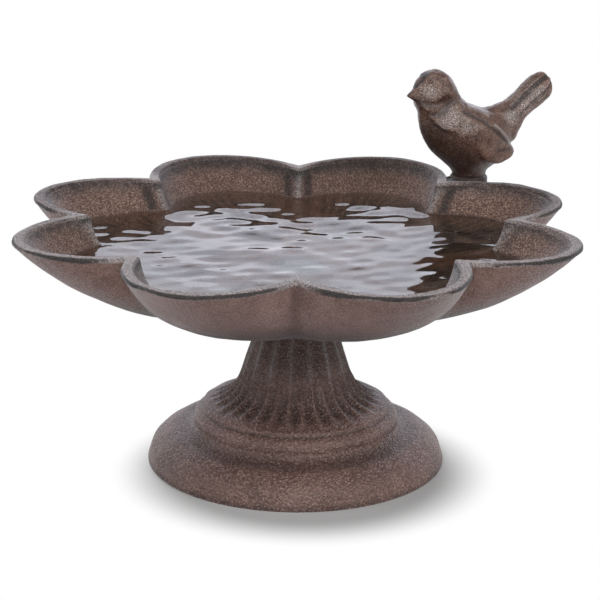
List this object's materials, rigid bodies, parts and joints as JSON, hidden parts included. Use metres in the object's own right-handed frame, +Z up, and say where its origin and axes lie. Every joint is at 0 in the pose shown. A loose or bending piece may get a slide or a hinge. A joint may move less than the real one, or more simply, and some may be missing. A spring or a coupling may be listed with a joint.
{
  "type": "bird bath",
  "caption": "Table-top cast-iron bird bath: flower-shaped bowl on a hollow fluted pedestal with a moulded round base, and a small bird figure on the rim.",
  "frame": {"origin": "centre of the base, on the ground", "axes": "+Z up along the axis of the pedestal; -Y is the front; the bird stands on the rim between +X and +Y"},
  "size_m": [0.2428, 0.2426, 0.1658],
  "materials": {
    "bowl_casting": "sand-cast, brown rust patina",
    "pedestal_casting": "coarse sand-cast, brown rust patina",
    "bird_casting": "sand-cast, waxed dark brown patina",
    "bolt_steel": "zinc-plated",
    "seal_rubber": "matt"
  },
  "bodies": {
    "root": {"bowl": "bowl_casting", "pedestal": "pedestal_casting", "bird": "bird_casting", "centre_bolt": "bolt_steel", "seal_washer": "seal_rubber", "head_washer": "bolt_steel", "nut_washer": "bolt_steel", "centre_nut": "bolt_steel", "bird_screw": "bolt_steel", "bird_washer": "bolt_steel"}
  },
  "joints": []
}
